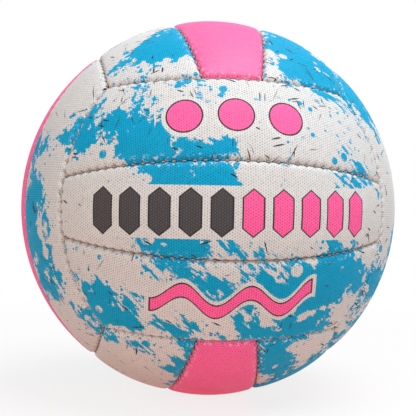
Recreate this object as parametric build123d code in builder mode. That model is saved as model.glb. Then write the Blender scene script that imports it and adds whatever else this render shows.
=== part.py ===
"""Netball with an 18-panel sewn cover.

Six groups of three strips wrap the ball, each group turned a quarter turn against its neighbours.
Every panel is a tray of grip rubber with rolled edges and a turned-in rim, and a padded lining lies
in the tray. Thread runs in every seam. A rubber bladder fills the cover, with its valve at the back.

Millimetres, +Z up, origin at the centre of the ball, the photographed side towards -Y.
"""

from build123d import *
import os
from math import acos, atan2, cos, degrees, pi, sin, sqrt, tan

# The ball and its panels
ball_diameter = 222.0          # over the crowns of the panels
centre_strip_width = 50.8      # between the straight seams of a group, along the surface
edge_bow = 13.6                # how far a strip's ends bow out past an even cube's edges, along the surface
skin_thickness = 1.2           # grip rubber of a cover panel
edge_roll_radius = 3.2         # how a panel's edge turns in to the seam
panel_corner_radius = 4.0      # a panel's corners, seen from outside
seam_gap = 0.2                 # between the rims of two neighbours
lining_thickness = 2.2         # foam and cloth behind the skin
glue_gap = 0.1                 # between layers that are bonded
thread_diameter = 0.7
thread_clearance = 0.1         # from the thread to the rolled edges beside it
thread_end_gap = 0.6           # from a thread's end to the thread that it meets

# The bladder and its valve
bladder_wall = 0.6
bladder_gap = 0.3              # between the bladder and the linings
stem_diameter = 9.0
stem_length = 13.4             # from the valve's face to its inner end
neck_diameter = 6.0            # the part of the stem that shows in the cover
neck_recess = 0.6              # from the ball's surface to the valve's face
valve_fit_gap = 0.1            # round the stem, the neck and the patch
hole_edge_radius = 0.5         # round the valve hole in the cover
flange_diameter = 30.0
flange_thickness = 1.2
patch_diameter = 36.0
patch_thickness = 0.8
plug_diameter = 4.0
plug_gap = 0.05                # round the plug in the stem
plug_end_recess = 1.4          # from the stem's inner end to the plug's
bulb_diameter = 5.6            # the swelling that holds the plug in the stem
bulb_length = 3.0
bulb_depth = 6.8               # from the valve's face to the bulb
bulb_corner_radius = 0.8
needle_hole_diameter = 2.0
needle_hole_depth = 6.5
slit_length = 2.6
slit_width = 0.2

# Levels, as distances from the centre of the ball
ball_radius = ball_diameter / 2
skin_inside = ball_radius - skin_thickness
lining_inside = skin_inside - glue_gap - lining_thickness
bladder_outside = lining_inside - bladder_gap
bladder_inside = bladder_outside - bladder_wall
flange_outside = bladder_inside - glue_gap
flange_inside = flange_outside - flange_thickness
valve_face = ball_radius - neck_recess
stem_end = valve_face - stem_length
plug_end = stem_end + plug_end_recess
bulb_top = valve_face - bulb_depth
stem_shoulder = sqrt(skin_inside**2 - (stem_diameter / 2) ** 2) - glue_gap
patch_outside = lining_inside + patch_thickness
needle_hole_end = valve_face - needle_hole_depth

# The seam layout, as angles at the centre of the ball. A group faces +Z in its own frame, its strips
# run along X, and the eight points where three groups meet are the corners of a cube. A straight seam
# lies in a plane through X. A group's end seam is a circle through two cube corners, so it lies on a
# cone from the centre of the ball, tilted away from that end.
strip_angle = centre_strip_width / 2 / ball_radius
edge_angle = pi / 4 - edge_bow / ball_radius
cube_corner = 1 / sqrt(3)
seam_tilt = atan2(sin(edge_angle) - cube_corner, cos(edge_angle) - cube_corner)
seam_cone_angle = pi / 2 - edge_angle + seam_tilt

# Where a thread lies, resting between the rolled edges of two panels
roll_to_thread = edge_roll_radius + thread_diameter / 2 + thread_clearance
roll_to_seam = edge_roll_radius + seam_gap / 2
thread_rise = sqrt(roll_to_thread**2 - roll_to_seam**2)
thread_level = ball_radius - edge_roll_radius + thread_rise
thread_end = thread_diameter / 2 + thread_end_gap

# Blanks and cutting tools reach past every seam
reach = 1.3 * ball_radius
cut_depth = 1.0
blank_half_length = 75.0       # degrees along the strips
blank_half_width = 55.0        # degrees across them

# Each group's name, the way it faces, the way its strips run, its side strips and its end neighbours
groups = [
    ("front", (0, -1, 0), (1, 0, 0), ("upper", "lower"), ("right", "left")),
    ("back", (0, 1, 0), (-1, 0, 0), ("upper", "lower"), ("left", "right")),
    ("top", (0, 0, 1), (0, 1, 0), ("left", "right"), ("back", "front")),
    ("bottom", (0, 0, -1), (0, 1, 0), ("right", "left"), ("back", "front")),
    ("left", (-1, 0, 0), (0, 0, 1), ("rear", "front"), ("top", "bottom")),
    ("right", (1, 0, 0), (0, 0, 1), ("front", "rear"), ("top", "bottom")),
]

# The valve stands in the middle of the back group
valve_group = "back"
valve_place = Plane((0, 0, 0), x_dir=(-1, 0, 0), z_dir=(0, 1, 0))
on_axis = (Align.CENTER, Align.CENTER, Align.MIN)
below = (Align.CENTER, Align.CENTER, Align.MAX)


def straight_seam(side):
    """The plane of a straight seam, facing +Y, for the seam on the +Y side (1) or the -Y side (-1)."""
    return Plane((0, 0, 0), x_dir=(1, 0, 0), z_dir=(0, cos(strip_angle), -side * sin(strip_angle)))


def seam_cone(axis, far_side, shift):
    """The solid cone inside a round seam, with its point moved along its axis.

    far_side is a direction square to the axis that no wall of the strip lies on.
    """
    point = tuple(shift * part for part in axis)
    with BuildPart(Plane(point, x_dir=far_side, z_dir=axis)) as cone:
        Cone(0, reach * tan(seam_cone_angle), reach, align=(Align.CENTER, Align.CENTER, Align.MIN))
    return cone.part


def strip_block(side, layer, floor):
    """One strip of a group with rolled edges: the centre strip (0) or the side strip towards +Y (1).

    layer is how far it lies inside the cover's outer surface, and floor is the radius of its inside.
    """
    inset = seam_gap / 2 + layer
    cone_shift = inset / sin(seam_cone_angle)
    end_cones = [
        seam_cone((-end * sin(seam_tilt), 0, cos(seam_tilt)), (0, -1, 0), cone_shift) for end in (1, -1)
    ]
    side_axis = (0, cos(seam_tilt), -sin(seam_tilt))
    side_cone = seam_cone(side_axis, (0, -sin(seam_tilt), -cos(seam_tilt)), -cone_shift)
    with BuildPart() as block:
        with BuildSketch(Plane.YZ.rotated((0, -blank_half_length, 0))):
            with BuildLine():
                outer = CenterArc((0, 0), ball_radius - layer, 90 - blank_half_width, 2 * blank_half_width)
                inner = CenterArc((0, 0), floor, 90 - blank_half_width, 2 * blank_half_width)
                Line(outer @ 0, inner @ 0)
                Line(outer @ 1, inner @ 1)
            make_face()
        revolve(axis=Axis.Y, revolution_arc=2 * blank_half_length)
        if side:
            split(bisect_by=straight_seam(1).offset(inset), keep=Keep.TOP)
            add(side_cone, mode=Mode.SUBTRACT)
        else:
            split(bisect_by=straight_seam(1).offset(-inset), keep=Keep.BOTTOM)
            split(bisect_by=straight_seam(-1).offset(inset), keep=Keep.TOP)
        for end_cone in end_cones:
            add(end_cone, mode=Mode.INTERSECT)
        half_depth = (ball_radius - layer - floor) / 2
        corners = block.edges().filter_by(
            lambda edge: abs((edge @ 0).length - (edge @ 1).length) > half_depth
        )
        fillet(corners, panel_corner_radius - layer)
        outside = block.faces().sort_by(SortBy.AREA)[-1]
        fillet(outside.edges(), edge_roll_radius - layer)
    return block.part


def thread_run(axis, start, turn):
    """A length of thread that lies along a seam, from a direction round the seam's axis."""
    start = Vector(*start).normalized()
    axis = Vector(*axis)
    with BuildPart() as thread:
        with BuildSketch(Plane(start * thread_level, x_dir=start, z_dir=axis.cross(start))):
            Circle(thread_diameter / 2)
        revolve(axis=Axis((0, 0, 0), axis), revolution_arc=degrees(turn))
    return thread.part


def straight_thread(side):
    """The thread of one straight seam, between the group's two end seams."""
    across = cos(strip_angle) * cos(seam_tilt)
    along = sin(seam_tilt)
    half_turn = acos(cos(seam_cone_angle) / sqrt(across**2 + along**2)) - atan2(along, across)
    half_turn -= thread_end / thread_level
    start = (
        -sin(half_turn),
        side * sin(strip_angle) * cos(half_turn),
        cos(strip_angle) * cos(half_turn),
    )
    return thread_run((0, cos(strip_angle), -side * sin(strip_angle)), start, 2 * half_turn)


def end_thread(end):
    """The thread of the end seam towards +X (1) or -X (-1), between two cube corners."""
    ring = sin(seam_cone_angle)
    half_turn = atan2(1, cos(seam_tilt) + sin(seam_tilt)) - thread_end / (thread_level * ring)
    height = cos(seam_cone_angle)
    outward = ring * cos(half_turn)
    start = (
        end * (outward * cos(seam_tilt) - height * sin(seam_tilt)),
        -end * ring * sin(half_turn),
        outward * sin(seam_tilt) + height * cos(seam_tilt),
    )
    return thread_run((-end * sin(seam_tilt), 0, cos(seam_tilt)), start, 2 * half_turn)


def save(piece, name):
    """Labels a finished piece and writes it."""
    piece.part.label = name
    export_step(piece.part, f"parts/{name}.step")


os.makedirs("parts", exist_ok=True)

# One cover panel and one lining of each shape, in a group's own frame
cover_shapes = []
lining_shapes = []
for side in (0, 1):
    cover_block = strip_block(side, 0, lining_inside)
    tray_block = strip_block(side, skin_thickness, lining_inside - cut_depth)
    with BuildPart() as cover_shape:
        add(cover_block)
        add(tray_block, mode=Mode.SUBTRACT)
    cover_shapes.append(cover_shape.part)
    lining_shapes.append(strip_block(side, skin_thickness + glue_gap, lining_inside))
straight_threads = [straight_thread(side) for side in (1, -1)]
end_threads = [end_thread(end) for end in (1, -1)]

# The recess for the valve's patch, in a group's own frame
with BuildPart() as patch_recess:
    Cylinder(patch_diameter / 2 + valve_fit_gap, reach, align=on_axis)
    Sphere(patch_outside + glue_gap, mode=Mode.INTERSECT)

# The cover, its linings and its threads, group by group
for group, facing, run, sides, ends in groups:
    along = Plane((0, 0, 0), x_dir=run, z_dir=facing)
    back = Plane((0, 0, 0), x_dir=tuple(-part for part in run), z_dir=facing)
    for strip, shape, place in (("centre", 0, along), (sides[0], 1, along), (sides[1], 1, back)):
        has_valve = group == valve_group and strip == "centre"
        with BuildPart(place) as cover:
            add(cover_shapes[shape])
            if has_valve:
                Cylinder(neck_diameter / 2 + valve_fit_gap, reach, align=on_axis, mode=Mode.SUBTRACT)
                hole_rim = cover.edges().sort_by_distance(Vector(*facing) * ball_radius)[0]
                fillet(hole_rim, hole_edge_radius)
        with BuildPart(place) as lining:
            add(lining_shapes[shape])
            if has_valve:
                Cylinder(stem_diameter / 2 + valve_fit_gap, reach, align=on_axis, mode=Mode.SUBTRACT)
                add(patch_recess.part, mode=Mode.SUBTRACT)
        save(cover, f"cover_{group}_{strip}")
        save(lining, f"lining_{group}_{strip}")
    with BuildPart(along) as thread:
        add(straight_threads)
    save(thread, f"seam_thread_{group}_strips")
    for run_of_thread, neighbour in zip(end_threads, ends):
        with BuildPart(along) as thread:
            add(run_of_thread)
        save(thread, f"seam_thread_{group}_{neighbour}")

# The bladder, with a hole for the valve
with BuildPart(valve_place) as bladder:
    Sphere(bladder_outside)
    Sphere(bladder_inside, mode=Mode.SUBTRACT)
    Cylinder(stem_diameter / 2 + valve_fit_gap, reach, align=on_axis, mode=Mode.SUBTRACT)
save(bladder, "bladder")

# The patch round the stem, let into the lining
with BuildPart(valve_place) as valve_patch:
    Cylinder(patch_diameter / 2, reach, align=on_axis)
    Sphere(patch_outside, mode=Mode.INTERSECT)
    Sphere(lining_inside, mode=Mode.SUBTRACT)
    Cylinder(stem_diameter / 2 + valve_fit_gap, reach, align=on_axis, mode=Mode.SUBTRACT)
save(valve_patch, "valve_patch")

# The valve body: a flange under the bladder's wall, a stem through it and a neck in the cover's hole
with BuildPart(valve_place) as valve_body:
    Cylinder(flange_diameter / 2, reach, align=on_axis)
    Sphere(flange_outside, mode=Mode.INTERSECT)
    Sphere(flange_inside, mode=Mode.SUBTRACT)
    with Locations((0, 0, stem_end)):
        Cylinder(stem_diameter / 2, stem_shoulder - stem_end, align=on_axis)
        Cylinder(neck_diameter / 2, stem_length, align=on_axis)
        Cylinder(plug_diameter / 2 + plug_gap, stem_length, align=on_axis, mode=Mode.SUBTRACT)
    with Locations((0, 0, bulb_top + plug_gap)):
        Cylinder(bulb_diameter / 2 + plug_gap, bulb_length + 2 * plug_gap, align=below, mode=Mode.SUBTRACT)
save(valve_body, "valve_body")

# The plug: a soft pin with a bulb that holds it, a hole for the pump's needle and a slit that seals
with BuildPart(valve_place) as valve_plug:
    with Locations((0, 0, bulb_top)):
        Cylinder(bulb_diameter / 2, bulb_length, align=below)
    fillet(valve_plug.edges().filter_by(GeomType.CIRCLE), bulb_corner_radius)
    with Locations((0, 0, plug_end)):
        Cylinder(plug_diameter / 2, valve_face - plug_end, align=on_axis)
    with Locations((0, 0, valve_face)):
        Cylinder(needle_hole_diameter / 2, needle_hole_depth, align=below, mode=Mode.SUBTRACT)
    with Locations((0, 0, needle_hole_end)):
        Box(slit_length, slit_width, needle_hole_end - plug_end, align=below, mode=Mode.SUBTRACT)
save(valve_plug, "valve_plug")
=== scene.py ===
from math import acos, atan2, cos, hypot, pi, radians, sin, sqrt
from random import Random

import bmesh
import bpy
import numpy as np
from bpy.props import FloatProperty, FloatVectorProperty, PointerProperty
from mathutils import Matrix, Vector


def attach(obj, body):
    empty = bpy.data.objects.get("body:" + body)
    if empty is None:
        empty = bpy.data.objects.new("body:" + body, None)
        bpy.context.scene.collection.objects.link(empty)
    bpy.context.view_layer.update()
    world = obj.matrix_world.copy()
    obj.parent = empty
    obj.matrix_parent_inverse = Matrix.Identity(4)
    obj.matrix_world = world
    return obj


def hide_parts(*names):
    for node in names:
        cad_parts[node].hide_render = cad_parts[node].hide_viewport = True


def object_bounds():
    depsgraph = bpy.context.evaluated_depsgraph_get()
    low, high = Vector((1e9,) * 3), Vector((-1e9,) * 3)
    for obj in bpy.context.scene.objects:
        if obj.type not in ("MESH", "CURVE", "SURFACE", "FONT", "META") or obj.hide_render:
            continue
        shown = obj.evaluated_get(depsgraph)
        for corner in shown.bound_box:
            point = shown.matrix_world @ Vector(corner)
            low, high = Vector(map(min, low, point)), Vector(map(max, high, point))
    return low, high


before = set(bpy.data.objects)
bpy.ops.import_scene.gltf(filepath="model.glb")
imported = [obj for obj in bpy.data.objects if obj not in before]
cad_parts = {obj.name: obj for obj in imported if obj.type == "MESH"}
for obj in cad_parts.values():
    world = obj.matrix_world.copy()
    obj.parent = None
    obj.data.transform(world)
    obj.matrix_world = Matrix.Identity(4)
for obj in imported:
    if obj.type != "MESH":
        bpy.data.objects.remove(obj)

bl_info = {
    "name": "Netball",
    "version": (1, 0, 0),
    "blender": (4, 5, 0),
    "location": "3D View > Sidebar > Netball",
    "description": "Dresses a sewn netball: grained panels, printed and plain, stitched seams and the valve",
    "category": "Object",
}

CAD_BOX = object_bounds()
BALL_RADIUS = max(CAD_BOX[1])

# Each group's name, the way it faces, the way its strips run, its side strips and its end neighbours
GROUPS = (
    ("front", (0, -1, 0), (1, 0, 0), ("upper", "lower"), ("right", "left")),
    ("back", (0, 1, 0), (-1, 0, 0), ("upper", "lower"), ("left", "right")),
    ("top", (0, 0, 1), (0, 1, 0), ("left", "right"), ("back", "front")),
    ("bottom", (0, 0, -1), (0, 1, 0), ("right", "left"), ("back", "front")),
    ("left", (-1, 0, 0), (0, 0, 1), ("rear", "front"), ("top", "bottom")),
    ("right", (1, 0, 0), (0, 0, 1), ("front", "rear"), ("top", "bottom")),
)
PINK_GROUPS = ("top", "bottom", "left", "right")
VALVE_PANEL = "back_centre"
MOTIFS = {
    "front_centre": "hexagons",
    "back_centre": "hexagons",
    "front_upper": "discs",
    "back_upper": "discs",
    "front_lower": "ribbon",
    "back_lower": "ribbon",
}
BODY = "root"

# Half the length and width of the flat sheet that each kind of strip is cut from
SHEET_HALF_SIZES = {"centre": (0.108, 0.0265), "side": (0.108, 0.0345)}
# How near to a cutting plane a point counts as on it
CUT_TOLERANCE = 1e-7
# The grain: its pattern of chance, how far a pit strays, as a share of the lattice's spacing, the shares of
# the full depth that its pits have, and where it starts beside a seam, as a share of the edge's roll
GRAIN_SEED = 7
GRAIN_SCATTER = 0.10
PIT_DEPTHS = (0.7, 1.0)
GRAIN_MARGIN = 0.3
# A panel's skin is at most this many times thinner under a deep mark, and at least this thick at its rim,
# which is this many thicknesses of skin wide
SKIN_THINNING = 3
RIM_SKIN = 1e-4
RIM_WIDTH = 2
# How far a stitch's mark spreads along the seam and away from it
STITCH_MARK_LENGTH = 0.0010
STITCH_MARK_REACH = 0.0022
# The sides and rings of one stitch
STITCH_SIDES = 6
STITCH_RINGS = 7

# The splash print is cut from one cloudy field of smears, brush streaks and bristle marks
SMEAR_OFFSET = (0.031, 0.017, 0.052)
BRUSH_TURN = (0.5, 0.7, 0.4)
STREAK_SCALE = (14, 70, 70)
STREAK_SHARE = 0.35
BRISTLE_SCALE = (60, 420, 420)
BRISTLE_SHARE = 0.14
# The levels of the field between which blue starts, and between which white drops end
BLUE_LEVEL = (0.487, 0.497)
WHITE_DROP_LEVEL = (0.57, 0.53)
# White drops: how small their cells are, the power that makes large ones rare, and the largest one's share
# of a cell
WHITE_DROPS = (95, 3, 0.42)
# Blue drops: where their pattern starts, the same three values, and the levels between which they start
BLUE_DROPS = (
    ((0.2, 0.1, 0.3), (170, 3, 0.45), (0.40, 0.44)),
    ((0.5, 0.2, 0.1), (420, 2, 0.42), (0.43, 0.45)),
)
# Straight charcoal slashes in the print: their turn on the panel, how small they are along and across,
# and their share of the places
SLASHES = (
    (0.3, 55, 420, 0.16),
    (0.7, 30, 640, 0.09),
    (1.1, 40, 560, 0.12),
    (1.5, 70, 600, 0.14),
    (1.9, 50, 540, 0.12),
    (2.7, 90, 380, 0.22),
)
# How far apart the slashes of two panels lie in their pattern
PANEL_STEP = 7.3
# Where a slash fades out from its middle, and the levels of the noise that leaves patches without slashes
SLASH_EDGE = (0.22, 0.14)
SLASH_PATCHES = (0.41, 0.48)

# The row of long hexagons: from one to the next, half sizes, how steep the points are, the number each side
# of the middle, how far the row lies off the strip's middle, and the margin of its white ground
HEXAGON_PERIOD = 0.0155
HEXAGON_HALF_WIDTH = 0.0058
HEXAGON_HALF_HEIGHT = 0.0122
HEXAGON_SLOPE = 0.8
HEXAGONS_EACH_SIDE = 5
HEXAGON_OFFSET = 0.001
HEXAGON_MARGIN = 0.001
# The row of discs
DISC_PERIOD = 0.026
DISC_RADIUS = 0.0095
DISC_COUNT = 3
# The waving ribbon: the length and height of a wave, its level on the panel, and its half sizes
RIBBON_WAVE = 0.034
RIBBON_SWING = 0.0055
RIBBON_LEVEL = -0.002
RIBBON_HALF_LENGTH = 0.0425
RIBBON_HALF_WIDTH = 0.0042
# A motif's charcoal outline and white border, the softness of its edges, and how much lighter ink is in a pit
OUTLINE = 0.0008
BORDER = 0.0022
PRINT_SOFTNESS = 0.00012
INK_LIFT = 0.17

# Grip rubber: painted shade and dirt in a pit, soil and painted shade beside the seams, edges rubbed bare
# and painted shade in the holes of the stitches. A reach goes from where a mark starts to where it is full.
PIT_DIRT_AND_PAINTED_SHADE = (0.10, 0.075, 0.07)
PIT_STRENGTH = 0.78
PIT_POWER = 1.3
SEAM_SOIL_AND_SHADE = (0.43, 0.37, 0.33)
SEAM_SOIL_AND_SHADE_REACH = (0.0013, 0.0002)
SEAM_SOIL_AND_SHADE_STRENGTH = 0.16
RUBBED_REACH = (0.0048, 0.0012)
RUBBED_STRENGTH = 0.75
STITCH_HOLE_PAINTED_SHADE = (0.16, 0.105, 0.085)
HOLE_REACH = (0.4, 0.95)
HOLE_STRENGTH = 0.7
GRIP_ROUGHNESS = (0.46, 0.60)
PLAIN_SPECULAR = 0.40
PRINTED_SPECULAR = 0.12
# Talc on the bladder and the valve
TALC = (0.16, 0.155, 0.15)
TALC_STRENGTH = 0.25

# The softboxes: the setting that holds each one's power, its place, its size and its tint
SOFTBOXES = (
    ("key", (0.3, -0.35, 1.1), 0.9, (0.94, 0.985, 1.0)),
    ("fill", (-0.7, -0.9, 0.3), 0.8, (1.0, 0.90, 0.80)),
    ("side", (0.95, -0.55, 0.0), 0.6, (0.55, 0.90, 1.0)),
)
SENSOR_WIDTH = 36
NEAR_CLIP = 0.01
ROOM_TINT = (0.92, 0.975, 1.0, 1)
# The floor: half its size, its colour as seen and in bounced light, and its glow in bounced light
FLOOR_HALF_SIZE = 6
FLOOR_SEEN = (0.80, 0.76, 0.74)
FLOOR_BOUNCED = (0.76, 0.54, 0.46)
FLOOR_GLOW = (1.0, 0.45, 0.33, 1)
FLOOR_ROUGHNESS = 0.9
# Two distances from the ball's centre, and what the floor has there: its share of plain white, its glow
FLOOR_WHITE = (0.15, 0.6, 0.80, 1.0)
GLOW_FADE = (0.20, 0.12, 0.0, 0.34)


def length(name, default, description):
    """A size in metres, shown with its unit."""
    return FloatProperty(name=name, description=description, default=default, unit="LENGTH", precision=5)


def colour(name, default, description):
    """A linear colour."""
    return FloatVectorProperty(
        name=name, description=description, default=default, subtype="COLOR", size=3, min=0, max=1
    )


class NetballSizes(bpy.types.PropertyGroup):
    """Sizes of the cover and its seams"""

    centre_strip_width: length("Centre strip", 0.0508, "Between the straight seams, along the surface")
    edge_bow: length("Edge bow", 0.0136, "How far a strip's ends bow out past an even cube's edges")
    edge_roll: length("Edge roll", 0.0026, "Radius of a panel's edge where it turns in to the seam")
    crown: length("Crown", 0.0009, "How far a panel's middle swells over its edges, beside the roll")
    crown_reach: length("Crown reach", 0.007, "How far from the seam a panel goes on rising")
    skin: length("Skin", 0.0012, "Thickness of a panel")
    rim_depth: length("Rim depth", 0.0035, "From the surface to a panel's turned-in rim")
    seam_gap: length("Seam gap", 0.0002, "Between two rims")
    grain_pitch: length("Grain pitch", 0.00145, "From one pit of the grain to the next")
    grain_depth: length("Grain depth", 0.0003, "Depth of a pit")
    stitch_pitch: length("Stitch pitch", 0.0054, "From one stitch to the next")
    stitch_length: length("Stitch length", 0.0021, "Seen length of a stitch")
    stitch_pinch: length("Stitch pinch", 0.0010, "How far a stitch draws the edge down")
    thread_diameter: length("Thread", 0.0009, "Thickness of the thread")
    thread_depth: length("Thread depth", 0.0022, "From the surface to the thread's middle")
    valve_hole: length("Valve hole", 0.0062, "Diameter of the hole over the valve")
    valve_lip: length("Valve lip", 0.0005, "Rounding of that hole's edge")


class NetballColours(bpy.types.PropertyGroup):
    """Colours of the cover, the thread and what lies inside"""

    white: colour("White", (0.70, 0.685, 0.68), "Ground of the printed panels")
    pink: colour("Pink", (1.0, 0.125, 0.36), "Plain panels and pink print")
    blue: colour("Blue", (0.0, 0.375, 0.645), "Splashes")
    charcoal: colour("Charcoal", (0.035, 0.029, 0.033), "Slashes, dark motifs and outlines")
    thread: colour("Thread", (0.42, 0.335, 0.28), "Seam thread")
    lining: colour("Lining", (0.62, 0.58, 0.50), "Cloth of the linings and the patch")
    rubber: colour("Rubber", (0.014, 0.014, 0.015), "Bladder and valve")


class NetballStage(bpy.types.PropertyGroup):
    """The camera and the lights"""

    camera_right: FloatProperty(name="Camera right", description="In ball radii", default=-0.6494)
    camera_back: FloatProperty(name="Camera back", description="In ball radii", default=-4.8434)
    camera_up: FloatProperty(name="Camera up", description="In ball radii", default=0.0509)
    camera_roll: FloatProperty(
        name="Camera roll", description="About the line of sight", default=radians(1.06), unit="ROTATION"
    )
    lens: FloatProperty(name="Lens", description="On a 36 mm sensor", default=77.4, unit="CAMERA")
    key: FloatProperty(name="Key light", description="Softbox overhead", default=15.8, unit="POWER")
    fill: FloatProperty(name="Fill light", description="Warm softbox on the left", default=3.7, unit="POWER")
    side: FloatProperty(name="Side light", description="Cool softbox on the right", default=2.4, unit="POWER")
    sky: FloatProperty(name="Room light", description="Even light from all round", default=0.49)


class Layout:
    """The seam layout as angles at the ball's centre, in a group's frame: facing +Z, strips along X."""

    def __init__(self, sizes):
        self.strip = sizes.centre_strip_width / 2 / BALL_RADIUS
        edge = pi / 4 - sizes.edge_bow / BALL_RADIUS
        corner = 1 / sqrt(3)
        self.tilt = atan2(sin(edge) - corner, cos(edge) - corner)
        self.cone = pi / 2 - edge + self.tilt
        self.middle = (self.strip + edge) / 2
        self.end_axes = [np.array((-end * sin(self.tilt), 0, cos(self.tilt))) for end in (1, -1)]
        self.side_axis = np.array((0, cos(self.tilt), -sin(self.tilt)))
        self.straight_normals = [np.array((0, cos(self.strip), -s * sin(self.strip))) for s in (1, -1)]
        across = cos(self.strip) * cos(self.tilt)
        along = sin(self.tilt)
        self.straight_half_turn = acos(cos(self.cone) / hypot(across, along)) - atan2(along, across)
        self.end_half_turn = atan2(1, cos(self.tilt) + sin(self.tilt))


def group_matrix(facing, run, turned=False):
    """The placement of a group's frame in the ball."""
    x = Vector(run) * (-1 if turned else 1)
    z = Vector(facing)
    y = z.cross(x)
    return Matrix((x, y, z)).transposed().to_4x4()


def strips_of(group):
    """Each strip of a group: its name, whether it is a side strip, and its placement."""
    name, facing, run, sides, _ = group
    yield f"{name}_centre", False, group_matrix(facing, run)
    yield f"{name}_{sides[0]}", True, group_matrix(facing, run)
    yield f"{name}_{sides[1]}", True, group_matrix(facing, run, turned=True)


def grain_lattice(spacing, half_length, half_width):
    """A flat sheet of even triangles, with the places of the grain's pits marked."""
    rows = int(2 * half_width / (spacing * sqrt(3) / 2))
    columns = int(2 * half_length / spacing)
    chance = Random(GRAIN_SEED)
    bm = bmesh.new()
    pit = bm.verts.layers.float.new("pit")
    bmesh.ops.create_grid(bm, x_segments=columns, y_segments=rows, size=1)
    # Every third point is a pit, so that the pits make a wider lattice of the same kind
    for vert in bm.verts:
        i = round((vert.co.x + 1) / 2 * columns)
        j = round((vert.co.y + 1) / 2 * rows)
        vert[pit] = chance.uniform(*PIT_DEPTHS) if (i - (j - j % 2) // 2 - j) % 3 == 0 else 0.0
        vert.co.x = (i + 0.5 * (j % 2) + chance.gauss(0, GRAIN_SCATTER)) * spacing - half_length
        vert.co.y = (j * sqrt(3) / 2 + chance.gauss(0, GRAIN_SCATTER)) * spacing - half_width
    bmesh.ops.triangulate(bm, faces=bm.faces[:], quad_method="SHORT_EDGE")
    return bm


def wrap_on_ball(bm, middle):
    """Lays the flat sheet on the ball along a strip whose middle is turned from the group's middle."""
    flat = bm.verts.layers.float_vector.new("strip_map")
    turn = Matrix.Rotation(-middle, 3, "X")
    for vert in bm.verts:
        vert[flat] = vert.co
        lon = vert.co.x / BALL_RADIUS
        lat = vert.co.y / BALL_RADIUS
        vert.co = turn @ Vector((cos(lat) * sin(lon), sin(lat), cos(lat) * cos(lon))) * BALL_RADIUS


def trim(bm, normal, offset):
    """Cuts away what lies beyond a plane."""
    bmesh.ops.bisect_plane(
        bm,
        geom=bm.verts[:] + bm.edges[:] + bm.faces[:],
        dist=CUT_TOLERANCE,
        plane_co=Vector(normal) * offset,
        plane_no=Vector(normal),
        clear_outer=True,
    )


def seam_distances(layout, side, directions):
    """For each seam of a strip: how far each point lies from it, and how far along it."""
    seams = []
    bowed = sin(layout.cone)
    bowed_half_turn = layout.end_half_turn * bowed
    for end, axis in zip((1, -1), layout.end_axes):
        away = (layout.cone - np.arccos(np.clip(directions @ axis, -1, 1))) * BALL_RADIUS
        outward = np.array((end * cos(layout.tilt), 0, sin(layout.tilt)))
        turn = np.arctan2(directions[:, 1], directions @ outward)
        seams.append(("end", away, turn * BALL_RADIUS * bowed, bowed_half_turn))
    run = np.arctan2(directions[:, 0], np.hypot(directions[:, 1], directions[:, 2]))
    if side:
        away = np.arcsin(directions @ layout.straight_normals[0]) * BALL_RADIUS
        seams.append(("side", away, run * BALL_RADIUS, layout.straight_half_turn))
        axis = layout.side_axis
        away = (np.arccos(np.clip(directions @ axis, -1, 1)) - layout.cone) * BALL_RADIUS
        towards = np.array((0, sin(layout.tilt), cos(layout.tilt)))
        turn = np.arctan2(directions[:, 0], directions @ towards)
        seams.append(("side", away, turn * BALL_RADIUS * bowed, bowed_half_turn))
    else:
        for s, normal in zip((-1, 1), layout.straight_normals):
            away = s * np.arcsin(directions @ normal) * BALL_RADIUS
            seams.append(("side", away, run * BALL_RADIUS, layout.straight_half_turn))
    return seams


def stitch_count(sizes, half_turn):
    """How many stitches fit a seam."""
    return max(1, round(2 * half_turn * BALL_RADIUS / sizes.stitch_pitch))


def panel_mesh(sizes, layout, side, valve):
    """One cover panel in its group's frame: grained, crowned and drawn in along its stitched edges."""
    spacing = sizes.grain_pitch / sqrt(3)
    bm = grain_lattice(spacing, *SHEET_HALF_SIZES["side" if side else "centre"])
    wrap_on_ball(bm, layout.middle if side else 0)
    gap = sizes.seam_gap / 2
    gap_angle = gap / BALL_RADIUS
    for axis in layout.end_axes:
        trim(bm, -axis, -BALL_RADIUS * cos(layout.cone - gap_angle))
    if side:
        trim(bm, -layout.straight_normals[0], -gap)
        trim(bm, layout.side_axis, BALL_RADIUS * cos(layout.cone + gap_angle))
    else:
        trim(bm, layout.straight_normals[0], -gap)
        trim(bm, -layout.straight_normals[1], -gap)
    if valve:
        cut_valve_hole(bm, sizes.valve_hole / 2)
    shape_panel(bm, sizes, layout, side, valve)
    mesh = bpy.data.meshes.new("panel")
    bm.to_mesh(mesh)
    bm.free()
    mesh.shade_smooth()
    return mesh


def cut_valve_hole(bm, hole):
    """Opens a round hole on the strip's middle, where the valve shows."""
    inner = [vert for vert in bm.verts if hypot(vert.co.x, vert.co.y) < hole]
    bmesh.ops.delete(bm, geom=inner, context="VERTS")
    # The hole's own border lies near the middle, and the panel's far from it
    for vert in bm.verts:
        out = hypot(vert.co.x, vert.co.y)
        if vert.is_boundary and out < 2 * hole:
            vert.co.x *= hole / out
            vert.co.y *= hole / out


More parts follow.
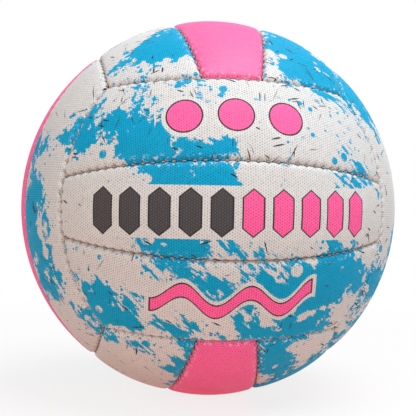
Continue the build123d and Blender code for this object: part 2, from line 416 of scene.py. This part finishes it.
def shape_panel(bm, sizes, layout, side, valve):
    """Gives the trimmed sheet its thickness, rolled edges, stitch marks and grain."""
    outer = bm.verts.layers.float.new("outer")
    edge = bm.verts.layers.float.new("edge")
    stitch = bm.verts.layers.float.new("stitch")
    made = bmesh.ops.extrude_face_region(bm, geom=bm.faces[:], use_keep_orig=True)
    for vert in made["geom"]:
        if isinstance(vert, bmesh.types.BMVert):
            vert[outer] = 1.0
    bm.verts.ensure_lookup_table()
    pit = bm.verts.layers.float["pit"]
    directions = np.array([vert.co.normalized() for vert in bm.verts])
    pits = np.array([vert[pit] for vert in bm.verts])
    is_outer = np.array([vert[outer] for vert in bm.verts]) > 0.5

    roll = sizes.edge_roll
    seams = seam_distances(layout, side, directions)
    across = np.minimum(*(away for kind, away, _, _ in seams if kind == "side"))
    ends = np.minimum(*(away for kind, away, _, _ in seams if kind == "end"))
    nearest = np.minimum(across, ends)
    turned = np.hypot(np.clip(roll - across, 0, roll), np.clip(roll - ends, 0, roll))
    drop = roll - np.sqrt(roll**2 - np.minimum(turned, roll) ** 2)
    drop += sizes.crown * np.exp(-np.maximum(nearest, 0) / sizes.crown_reach)
    marks = np.zeros(len(drop))
    for _, away, along, half_turn in seams:
        count = stitch_count(sizes, half_turn)
        phase = (along / (2 * half_turn * BALL_RADIUS) + 0.5) * count
        from_hole = (phase % 1 - 0.5) * sizes.stitch_pitch
        mark = np.exp(-((from_hole / STITCH_MARK_LENGTH) ** 2) - (away / STITCH_MARK_REACH) ** 2)
        marks = np.maximum(marks, mark)
    drop += sizes.stitch_pinch * marks
    if valve:
        out = np.hypot(directions[:, 0], directions[:, 1]) * BALL_RADIUS
        lip = sizes.valve_lip
        near_hole = np.clip(sizes.valve_hole / 2 + lip - out, 0, lip)
        drop += lip - np.sqrt(lip**2 - near_hole**2)
    drop += sizes.grain_depth * pits * np.clip((nearest - GRAIN_MARGIN * roll) / roll, 0, 1)
    rim = np.clip(RIM_WIDTH - nearest / sizes.skin, 0, 1)
    inside = sizes.skin + (sizes.rim_depth - sizes.skin) * rim
    inside = np.maximum(inside, np.minimum(drop + sizes.skin / SKIN_THINNING, sizes.rim_depth))
    depth = np.where(is_outer, np.minimum(drop, sizes.rim_depth - RIM_SKIN), inside)
    places = directions * (BALL_RADIUS - depth)[:, None]
    for vert, place, gap, mark in zip(bm.verts, places, nearest, marks):
        vert.co = place
        vert[edge] = gap
        vert[stitch] = mark
    bmesh.ops.recalc_face_normals(bm, faces=bm.faces[:])


def number_panel(mesh, number):
    """Notes a panel's number in its map, so that no two panels have the same slashes."""
    flat = mesh.attributes["strip_map"].data
    values = np.empty(3 * len(flat), np.float32)
    flat.foreach_get("vector", values)
    values[2::3] = number
    flat.foreach_set("vector", values)


class Nodes:
    """Short calls that add shader nodes to one material."""

    def __init__(self, name):
        self.material = bpy.data.materials.new(name)
        self.material.use_nodes = True
        self.tree = self.material.node_tree
        self.shader = self.tree.nodes["Principled BSDF"]

    def add(self, kind, settings=None, **inputs):
        """A node with its settings, and its inputs set or linked by name."""
        node = self.tree.nodes.new(kind)
        for key, value in (settings or {}).items():
            setattr(node, key, value)
        for key, value in inputs.items():
            self.put(node.inputs[key.replace("_", " ")], value)
        return node

    def put(self, socket, value):
        """Links an output to a socket, or sets the socket's own value."""
        if isinstance(value, bpy.types.NodeSocket):
            self.tree.links.new(value, socket)
        elif socket.type == "RGBA":
            socket.default_value = (*value[:3], 1)
        else:
            socket.default_value = value

    def math(self, operation, first, second=0.0, third=0.0):
        """The result of one sum."""
        node = self.tree.nodes.new("ShaderNodeMath")
        node.operation = operation
        for socket, value in zip(node.inputs, (first, second, third)):
            self.put(socket, value)
        return node.outputs[0]

    def step(self, value, low, high, out_low=0.0, out_high=1.0):
        """A smooth step from low to high."""
        node = self.add("ShaderNodeMapRange", {"interpolation_type": "SMOOTHSTEP"})
        for socket, item in zip(node.inputs, (value, low, high, out_low, out_high)):
            self.put(socket, item)
        return node.outputs[0]

    def mix(self, share, first, second, blend="MIX"):
        """One colour laid over another."""
        node = self.add("ShaderNodeMix", {"data_type": "RGBA", "blend_type": blend})
        self.put(node.inputs[0], share)
        self.put(node.inputs[6], first)
        self.put(node.inputs[7], second)
        return node.outputs[2]

    def place(self):
        """Object coordinates."""
        return self.add("ShaderNodeTexCoord").outputs["Object"]

    def moved(self, vector, offset=(0, 0, 0), turn=(0, 0, 0), scale=(1, 1, 1)):
        """A pattern's coordinates: moved, then turned, then scaled along the turned axes."""
        node = self.add("ShaderNodeMapping", {"vector_type": "TEXTURE"})
        self.put(node.inputs["Vector"], vector)
        node.inputs["Location"].default_value = offset
        node.inputs["Rotation"].default_value = turn
        node.inputs["Scale"].default_value = [1 / part for part in scale]
        return node.outputs[0]

    def noise(self, vector, scale, detail=2.0, roughness=0.5, distortion=0.0):
        """Cloudy noise about one half."""
        settings = {"Detail": detail, "Roughness": roughness, "Distortion": distortion}
        return self.add("ShaderNodeTexNoise", Vector=vector, Scale=scale, **settings).outputs["Fac"]

    def cells(self, vector, scale):
        """Scattered cells: the distance to a cell's middle, and a random number for each cell."""
        node = self.add("ShaderNodeTexVoronoi", Vector=vector, Scale=scale)
        split = self.add("ShaderNodeSeparateColor", Color=node.outputs["Color"])
        return node.outputs["Distance"], split.outputs[0]

    def attribute(self, name):
        """A value kept on the mesh."""
        return self.add("ShaderNodeAttribute", {"attribute_name": name})

    def bump(self, height, strength, distance):
        """Fine bumps on the surface."""
        node = self.add("ShaderNodeBump", Height=height, Strength=strength, Distance=distance)
        self.put(self.shader.inputs["Normal"], node.outputs[0])


def toned(tone, share):
    """A darker or lighter tone of a colour."""
    return [min(1, share * part) for part in tone]


def drops(nodes, place, scale, power, size):
    """Round drops whose sizes go by chance."""
    distance, chance = nodes.cells(place, scale)
    reach = nodes.math("MULTIPLY", nodes.math("POWER", chance, power), size)
    return nodes.math("LESS_THAN", distance, reach)


def splash_field(nodes, place):
    """The cloudy field that the splashes are cut from."""
    smear_place = nodes.moved(place, offset=SMEAR_OFFSET)
    field = nodes.noise(smear_place, scale=15, detail=9, roughness=0.60, distortion=0.5)
    streak_place = nodes.moved(place, turn=BRUSH_TURN, scale=STREAK_SCALE)
    streak = nodes.noise(streak_place, scale=1, detail=6, roughness=0.65, distortion=0.4)
    bristle_place = nodes.moved(place, turn=BRUSH_TURN, scale=BRISTLE_SCALE)
    bristle = nodes.noise(bristle_place, scale=1, detail=3, roughness=0.6)
    for mark, share in ((streak, STREAK_SHARE), (bristle, BRISTLE_SHARE)):
        field = nodes.math("MULTIPLY_ADD", nodes.math("SUBTRACT", mark, 0.5), share, field)
    return field


def slashes(nodes, place):
    """Where the charcoal slashes lie, each panel with its own."""
    dark = 0.0
    flat = nodes.attribute("strip_map").outputs["Vector"]
    for turn, along, across, share in SLASHES:
        size = (along, across, PANEL_STEP)
        distance, chance = nodes.cells(nodes.moved(flat, turn=(0, 0, turn), scale=size), 1)
        kept = nodes.step(chance, 1 - share, 1.01 - share)
        slash = nodes.math("MULTIPLY", nodes.step(distance, *SLASH_EDGE), kept)
        dark = nodes.math("MAXIMUM", dark, slash)
    patches = nodes.step(nodes.noise(place, scale=30), *SLASH_PATCHES)
    return nodes.math("MULTIPLY", dark, patches)


def splash_print(nodes, colours):
    """A generic splash print: blue smears and drops, white drops in them, and charcoal slashes."""
    place = nodes.place()
    field = splash_field(nodes, place)
    blue = nodes.step(field, *BLUE_LEVEL)
    white = nodes.math("MULTIPLY", drops(nodes, place, *WHITE_DROPS), nodes.step(field, *WHITE_DROP_LEVEL))
    blue = nodes.math("MULTIPLY", blue, nodes.math("SUBTRACT", 1, white))
    for offset, kind, level in BLUE_DROPS:
        drop = drops(nodes, nodes.moved(place, offset=offset), *kind)
        drop = nodes.math("MULTIPLY", drop, nodes.step(field, *level))
        blue = nodes.math("MAXIMUM", blue, drop)
    ground = nodes.mix(nodes.noise(place, scale=40, detail=4), toned(colours.white, 0.93), colours.white)
    rich = nodes.mix(nodes.noise(place, scale=70, detail=5), toned(colours.blue, 0.85), colours.blue)
    printed = nodes.mix(blue, ground, rich)
    return nodes.mix(slashes(nodes, place), printed, colours.charcoal)


def strip_place(nodes):
    """Where a point lies on its flat panel: along it and across it, in metres."""
    flat = nodes.attribute("strip_map").outputs["Vector"]
    split = nodes.add("ShaderNodeSeparateXYZ", Vector=flat)
    return split.outputs["X"], split.outputs["Y"]


def hexagons_distance(nodes):
    """How far a point lies outside a row of long hexagons, their white ground, and which are charcoal."""
    along, across = strip_place(nodes)
    shifted = nodes.math("FLOORED_MODULO", along, HEXAGON_PERIOD)
    cell = nodes.math("ABSOLUTE", nodes.math("SUBTRACT", shifted, HEXAGON_PERIOD / 2))
    level = nodes.math("ABSOLUTE", nodes.math("ADD", across, HEXAGON_OFFSET))
    beside = nodes.math("SUBTRACT", cell, HEXAGON_HALF_WIDTH)
    slant = nodes.math("MULTIPLY_ADD", cell, HEXAGON_SLOPE, level)
    slope = nodes.math("SUBTRACT", slant, HEXAGON_HALF_HEIGHT)
    from_middle = nodes.math("ABSOLUTE", along)
    past = nodes.math("SUBTRACT", from_middle, HEXAGONS_EACH_SIDE * HEXAGON_PERIOD)
    hexagon = nodes.math("MAXIMUM", nodes.math("MAXIMUM", beside, slope), past)
    # On the back, the two in the middle make room for the valve
    split = nodes.add("ShaderNodeSeparateXYZ", Vector=nodes.place())
    at_back = nodes.math("GREATER_THAN", split.outputs["Y"], 0.0)
    valve_gap = nodes.math("SUBTRACT", nodes.math("MULTIPLY", at_back, HEXAGON_PERIOD), from_middle)
    hexagon = nodes.math("MAXIMUM", hexagon, valve_gap)
    above = nodes.math("SUBTRACT", level, HEXAGON_HALF_HEIGHT)
    ground = nodes.math("SUBTRACT", nodes.math("MAXIMUM", above, past), HEXAGON_MARGIN)
    return hexagon, ground, nodes.math("LESS_THAN", along, 0.0)


def discs_distance(nodes):
    """How far a point lies outside a row of discs."""
    along, across = strip_place(nodes)
    shifted = nodes.math("ADD", along, DISC_PERIOD / 2)
    cell = nodes.math("SUBTRACT", nodes.math("FLOORED_MODULO", shifted, DISC_PERIOD), DISC_PERIOD / 2)
    square = nodes.math("ADD", nodes.math("POWER", cell, 2), nodes.math("POWER", across, 2))
    disc = nodes.math("SUBTRACT", nodes.math("SQRT", square), DISC_RADIUS)
    past = nodes.math("SUBTRACT", nodes.math("ABSOLUTE", along), DISC_COUNT / 2 * DISC_PERIOD)
    return nodes.math("MAXIMUM", disc, past)


def ribbon_distance(nodes):
    """How far a point lies outside a waving ribbon."""
    along, across = strip_place(nodes)
    wave = nodes.math("SINE", nodes.math("MULTIPLY", along, 2 * pi / RIBBON_WAVE))
    middle = nodes.math("ADD", nodes.math("MULTIPLY", wave, RIBBON_SWING), RIBBON_LEVEL)
    off = nodes.math("ABSOLUTE", nodes.math("SUBTRACT", across, middle))
    ribbon = nodes.math("SUBTRACT", off, RIBBON_HALF_WIDTH)
    past = nodes.math("SUBTRACT", nodes.math("ABSOLUTE", along), RIBBON_HALF_LENGTH)
    return nodes.math("MAXIMUM", ribbon, past)


def lay_motif(nodes, colours, printed, motif):
    """Lays a panel's motif over its splash print, on white and with a charcoal outline."""
    fill = colours.pink
    if motif == "hexagons":
        body, ground, dark = hexagons_distance(nodes)
        pit = nodes.attribute("pit").outputs["Fac"]
        ink = nodes.mix(pit, colours.charcoal, [part + INK_LIFT for part in colours.charcoal])
        fill = nodes.mix(dark, colours.pink, ink)
    else:
        body = discs_distance(nodes) if motif == "discs" else ribbon_distance(nodes)
        ground = nodes.math("SUBTRACT", body, BORDER)
    inner = nodes.math("ADD", body, OUTLINE)
    for reach, tone in ((ground, colours.white), (body, colours.charcoal), (inner, fill)):
        printed = nodes.mix(nodes.step(reach, PRINT_SOFTNESS, -PRINT_SOFTNESS), printed, tone)
    return printed


def grip_rubber(name, colours, motif=None, plain=False):
    """Grained grip rubber: plain pink, or white with the splash print and a motif."""
    nodes = Nodes(name)
    place = nodes.place()
    if plain:
        cloud = nodes.noise(place, scale=45, detail=5, roughness=0.6)
        face = nodes.mix(cloud, toned(colours.pink, 0.9), colours.pink)
        bare = [(pink + white) / 2 for pink, white in zip(colours.pink, colours.white)]
    else:
        face = splash_print(nodes, colours)
        bare = colours.white
        if motif:
            face = lay_motif(nodes, colours, face, motif)
    # Painted shade, with some dirt, darkens the pits of the grain
    pit = nodes.math("POWER", nodes.attribute("pit").outputs["Fac"], PIT_POWER)
    face = nodes.mix(nodes.math("MULTIPLY", pit, PIT_STRENGTH), face, PIT_DIRT_AND_PAINTED_SHADE, "MULTIPLY")
    # Soil and painted shade darken the rubber in and beside the seams
    edge = nodes.attribute("edge").outputs["Fac"]
    seam_soil_and_shade = nodes.step(edge, *SEAM_SOIL_AND_SHADE_REACH, 0.0, SEAM_SOIL_AND_SHADE_STRENGTH)
    patches = nodes.step(nodes.noise(place, scale=160, detail=4), 0.3, 0.7)
    face = nodes.mix(nodes.math("MULTIPLY", seam_soil_and_shade, patches), face, SEAM_SOIL_AND_SHADE)
    rubbed = nodes.step(edge, *RUBBED_REACH, 0.0, RUBBED_STRENGTH)
    flecks = nodes.step(nodes.noise(place, scale=520, detail=4, roughness=0.6), 0.56, 0.62)
    face = nodes.mix(nodes.math("MULTIPLY", rubbed, flecks), face, bare)
    # Painted shade darkens the holes where the stitches draw the edge in
    hole = nodes.step(nodes.attribute("stitch").outputs["Fac"], *HOLE_REACH, 0.0, HOLE_STRENGTH)
    nodes.put(nodes.shader.inputs["Base Color"], nodes.mix(hole, face, STITCH_HOLE_PAINTED_SHADE))
    worn = nodes.noise(place, scale=30, detail=6, roughness=0.6)
    nodes.put(nodes.shader.inputs["Roughness"], nodes.step(worn, 0.3, 0.7, *GRIP_ROUGHNESS))
    nodes.shader.inputs["Specular IOR Level"].default_value = PLAIN_SPECULAR if plain else PRINTED_SPECULAR
    nodes.bump(nodes.noise(place, scale=1800, detail=3), strength=0.25, distance=0.0001)
    return nodes.material


def thread_finish(colours):
    """Twisted thread, darkened in places where dirt has settled."""
    nodes = Nodes("seam_thread")
    place = nodes.place()
    twist = nodes.noise(place, scale=900, detail=3, roughness=0.6)
    strands = nodes.mix(twist, toned(colours.thread, 0.45), toned(colours.thread, 1.5))
    soiled = nodes.step(nodes.noise(place, scale=120, detail=3), 0.35, 0.65)
    nodes.put(nodes.shader.inputs["Base Color"], nodes.mix(soiled, strands, colours.thread))
    nodes.put(nodes.shader.inputs["Roughness"], nodes.step(twist, 0.3, 0.7, 0.65, 0.85))
    nodes.bump(twist, strength=0.6, distance=0.0002)
    return nodes.material


def cloth_finish(name, tone):
    """Plain woven backing cloth."""
    nodes = Nodes(name)
    place = nodes.place()
    bands = {"wave_type": "BANDS", "bands_direction": "DIAGONAL"}
    weave = nodes.add("ShaderNodeTexWave", bands, Vector=place, Scale=400)
    threads = nodes.math("MULTIPLY", weave.outputs["Fac"], nodes.noise(place, scale=300, detail=3))
    nodes.put(nodes.shader.inputs["Base Color"], nodes.mix(threads, toned(tone, 0.75), tone))
    nodes.shader.inputs["Roughness"].default_value = 0.9
    return nodes.material


def rubber_finish(name, colours):
    """Matt black moulded rubber with a dusting of talc."""
    nodes = Nodes(name)
    place = nodes.place()
    dust = nodes.step(nodes.noise(place, scale=260, detail=6, roughness=0.65), 0.45, 0.8)
    face = nodes.mix(nodes.math("MULTIPLY", dust, TALC_STRENGTH), colours.rubber, TALC)
    nodes.put(nodes.shader.inputs["Base Color"], face)
    nodes.put(nodes.shader.inputs["Roughness"], nodes.step(dust, 0, 1, 0.55, 0.8))
    nodes.bump(nodes.noise(place, scale=1500, detail=3), strength=0.3, distance=0.0002)
    return nodes.material


def show(name, mesh, material):
    """Puts a finished mesh in the scene as one piece."""
    piece = bpy.data.objects.new(name, mesh)
    bpy.context.scene.collection.objects.link(piece)
    mesh.materials.clear()
    mesh.materials.append(material)
    return piece


def refinish(node, material):
    """Gives a CAD node a better material."""
    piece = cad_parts[node]
    piece.data.materials.clear()
    piece.data.materials.append(material)


class NETBALL_OT_cover(bpy.types.Operator):
    """Makes the eighteen cover panels"""

    bl_idname = "netball.cover"
    bl_label = "Cover panels"

    def execute(self, context):
        sizes = context.scene.netball_sizes
        colours = context.scene.netball_colours
        layout = Layout(sizes)
        number = 0
        shapes = {}
        pink = grip_rubber("pink_grip_rubber", colours, plain=True)
        prints = {
            motif: grip_rubber(f"printed_grip_rubber_{motif or 'splash'}", colours, motif)
            for motif in (None, "hexagons", "discs", "ribbon")
        }
        for group in GROUPS:
            for strip, side, placement in strips_of(group):
                valve = strip == VALVE_PANEL
                if (side, valve) not in shapes:
                    shapes[side, valve] = panel_mesh(sizes, layout, side, valve)
                mesh = shapes[side, valve].copy()
                mesh.transform(placement)
                number += 1
                number_panel(mesh, number)
                plain = not side and group[0] in PINK_GROUPS
                material = pink if plain else prints[MOTIFS.get(strip)]
                piece = show(f"panel_{strip}", mesh, material)
                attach(piece, BODY)
                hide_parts(f"cover_{strip}")
        for mesh in shapes.values():
            bpy.data.meshes.remove(mesh)
        return {"FINISHED"}


def add_stitches(bm, sizes, axis, towards, cone, half_turn, placement):
    """Lays a row of stitches along a seam that turns about an axis, from one end to the other."""
    axis = Vector(axis)
    towards = Vector(towards)
    beside = axis.cross(towards)
    count = stitch_count(sizes, half_turn * sin(cone))
    level = BALL_RADIUS - sizes.thread_depth
    thick = sizes.thread_diameter / 2
    size = Matrix.Diagonal((thick, thick, sizes.stitch_length / 2, 1))
    for i in range(count):
        turn = ((i + 0.5) / count * 2 - 1) * half_turn
        outward = towards * cos(turn) + beside * sin(turn)
        up = outward * sin(cone) + axis * cos(cone)
        along = beside * cos(turn) - towards * sin(turn)
        across = up.cross(along)
        turned = Matrix((across, up, along)).transposed().to_4x4()
        spot = Matrix.Translation(up * level)
        matrix = placement @ spot @ turned @ size
        bmesh.ops.create_uvsphere(
            bm, u_segments=STITCH_SIDES, v_segments=STITCH_RINGS, radius=1, matrix=matrix
        )


class NETBALL_OT_stitches(bpy.types.Operator):
    """Sews the seams with separate stitches"""

    bl_idname = "netball.stitches"
    bl_label = "Seam stitches"

    def execute(self, context):
        sizes = context.scene.netball_sizes
        layout = Layout(sizes)
        material = thread_finish(context.scene.netball_colours)
        for name, facing, run, _, ends in GROUPS:
            placement = group_matrix(facing, run)
            bm = bmesh.new()
            for s, normal in zip((1, -1), layout.straight_normals):
                towards = (0, s * sin(layout.strip), cos(layout.strip))
                add_stitches(bm, sizes, normal, towards, pi / 2, layout.straight_half_turn, placement)
            self.finish(bm, f"{name}_strips", material)
            for end, axis, neighbour in zip((1, -1), layout.end_axes, ends):
                bm = bmesh.new()
                towards = (end * cos(layout.tilt), 0, sin(layout.tilt))
                add_stitches(bm, sizes, axis, towards, layout.cone, layout.end_half_turn, placement)
                self.finish(bm, f"{name}_{neighbour}", material)
        return {"FINISHED"}

    def finish(self, bm, seam, material):
        """Turns one seam's stitches into a piece."""
        mesh = bpy.data.meshes.new(f"stitches_{seam}")
        bm.to_mesh(mesh)
        bm.free()
        mesh.shade_smooth()
        piece = show(f"stitches_{seam}", mesh, material)
        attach(piece, BODY)
        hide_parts(f"seam_thread_{seam}")


class NETBALL_OT_inside(bpy.types.Operator):
    """Finishes the linings, the bladder and the valve"""

    bl_idname = "netball.inside"
    bl_label = "Linings, bladder and valve"

    def execute(self, context):
        colours = context.scene.netball_colours
        lining = cloth_finish("lining_cloth", list(colours.lining))
        patch = cloth_finish("patch_cloth", toned(colours.lining, 0.7))
        bladder = rubber_finish("bladder_rubber", colours)
        valve = rubber_finish("valve_rubber", colours)
        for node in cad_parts:
            if node.startswith("lining_"):
                refinish(node, lining)
        refinish("valve_patch", patch)
        refinish("bladder", bladder)
        refinish("valve_body", valve)
        refinish("valve_plug", valve)
        return {"FINISHED"}


def lamp(name, place, size, power, tint):
    """A square softbox aimed at the ball."""
    data = bpy.data.lights.new(name, "AREA")
    data.size = size
    data.energy = power
    data.color = tint
    light = bpy.data.objects.new(name, data)
    light.location = place
    light.rotation_euler = (-Vector(place)).to_track_quat("-Z", "Y").to_euler()
    bpy.context.scene.collection.objects.link(light)


def background_rays(tree):
    """One for rays that show the background: the camera's, reflected and transmitted ones."""
    path = tree.nodes.new("ShaderNodeLightPath")
    seen = path.outputs["Is Camera Ray"]
    for kind in ("Is Glossy Ray", "Is Transmission Ray"):
        either = tree.nodes.new("ShaderNodeMath")
        either.operation = "MAXIMUM"
        tree.links.new(seen, either.inputs[0])
        tree.links.new(path.outputs[kind], either.inputs[1])
        seen = either.outputs[0]
    return seen


class NETBALL_OT_stage(bpy.types.Operator):
    """Sets the camera, the lights and the pale floor"""

    bl_idname = "netball.stage"
    bl_label = "Stage"

    def execute(self, context):
        scene = context.scene
        stage = scene.netball_stage
        scene.view_settings.view_transform = "Standard"
        data = bpy.data.cameras.new("camera")
        data.sensor_width = SENSOR_WIDTH
        data.lens = stage.lens
        data.clip_start = NEAR_CLIP
        camera = bpy.data.objects.new("camera", data)
        place = Vector((stage.camera_right, stage.camera_back, stage.camera_up)) * BALL_RADIUS
        aim = (-place).to_track_quat("-Z", "Y").to_matrix().to_4x4()
        camera.matrix_world = Matrix.Translation(place) @ aim @ Matrix.Rotation(stage.camera_roll, 4, "Z")
        scene.collection.objects.link(camera)
        scene.camera = camera

        powers = {"key": stage.key, "fill": stage.fill, "side": stage.side}
        for name, place, size, tint in SOFTBOXES:
            lamp(f"{name}_softbox", place, size, powers[name], tint)
        self.room(scene, stage)
        self.floor()
        return {"FINISHED"}

    def room(self, scene, stage):
        """Even light from all round, white where the camera and reflections see it."""
        world = bpy.data.worlds.new("room")
        world.use_nodes = True
        scene.world = world
        tree = world.node_tree
        back = tree.nodes["Background"]
        back.inputs["Color"].default_value = ROOM_TINT
        back.inputs["Strength"].default_value = stage.sky
        white = tree.nodes.new("ShaderNodeBackground")
        white.inputs["Color"].default_value = (1, 1, 1, 1)
        mix = tree.nodes.new("ShaderNodeMixShader")
        tree.links.new(background_rays(tree), mix.inputs[0])
        tree.links.new(back.outputs[0], mix.inputs[1])
        tree.links.new(white.outputs[0], mix.inputs[2])
        tree.links.new(mix.outputs[0], tree.nodes["World Output"].inputs["Surface"])

    def floor(self):
        """A wide pale floor that the ball stands on."""
        bm = bmesh.new()
        bmesh.ops.create_grid(bm, x_segments=1, y_segments=1, size=FLOOR_HALF_SIZE)
        bmesh.ops.translate(bm, verts=bm.verts[:], vec=(0, 0, -BALL_RADIUS))
        mesh = bpy.data.meshes.new("floor")
        bm.to_mesh(mesh)
        bm.free()
        nodes = Nodes("pale_floor")
        nodes.shader.inputs["Roughness"].default_value = FLOOR_ROUGHNESS
        nodes.shader.inputs["Emission Color"].default_value = FLOOR_GLOW
        seen = background_rays(nodes.tree)
        nodes.put(nodes.shader.inputs["Base Color"], nodes.mix(seen, FLOOR_BOUNCED, FLOOR_SEEN))
        white = nodes.add("ShaderNodeEmission", Color=(1, 1, 1), Strength=1.0)
        mix = nodes.add("ShaderNodeMixShader")
        reach = nodes.add("ShaderNodeVectorMath", {"operation": "LENGTH"})
        nodes.put(reach.inputs[0], nodes.place())
        share = nodes.step(reach.outputs["Value"], *FLOOR_WHITE)
        glow = nodes.step(reach.outputs["Value"], *GLOW_FADE)
        unseen = nodes.math("SUBTRACT", 1, seen)
        nodes.put(nodes.shader.inputs["Emission Strength"], nodes.math("MULTIPLY", glow, unseen))
        nodes.put(mix.inputs[0], nodes.math("MULTIPLY", seen, share))
        nodes.put(mix.inputs[1], nodes.shader.outputs[0])
        nodes.put(mix.inputs[2], white.outputs[0])
        nodes.put(nodes.tree.nodes["Material Output"].inputs["Surface"], mix.outputs[0])
        show("floor", mesh, nodes.material)


class NETBALL_PT_tools(bpy.types.Panel):
    """Lists the netball's tools and settings"""

    bl_idname = "NETBALL_PT_tools"
    bl_label = "Netball"
    bl_space_type = "VIEW_3D"
    bl_region_type = "UI"
    bl_category = "Netball"

    def draw(self, context):
        for operator in OPERATORS:
            self.layout.operator(operator.bl_idname)
        scene = context.scene
        for group in (scene.netball_sizes, scene.netball_colours, scene.netball_stage):
            box = self.layout.box()
            for key in group.__annotations__:
                box.prop(group, key)


OPERATORS = (NETBALL_OT_cover, NETBALL_OT_stitches, NETBALL_OT_inside, NETBALL_OT_stage)
SETTINGS = (NetballSizes, NetballColours, NetballStage)


def register():
    """Adds the settings, the operators and the panel."""
    for cls in (*SETTINGS, *OPERATORS, NETBALL_PT_tools):
        bpy.utils.register_class(cls)
    bpy.types.Scene.netball_sizes = PointerProperty(type=NetballSizes)
    bpy.types.Scene.netball_colours = PointerProperty(type=NetballColours)
    bpy.types.Scene.netball_stage = PointerProperty(type=NetballStage)


def unregister():
    """Takes them away again."""
    del bpy.types.Scene.netball_stage
    del bpy.types.Scene.netball_colours
    del bpy.types.Scene.netball_sizes
    for cls in (NETBALL_PT_tools, *reversed(OPERATORS), *reversed(SETTINGS)):
        bpy.utils.unregister_class(cls)


def main():
    """Registers the tools and dresses the ball."""
    register()
    bpy.ops.netball.cover()
    bpy.ops.netball.stitches()
    bpy.ops.netball.inside()
    bpy.ops.netball.stage()


if __name__ == "__main__":
    main()
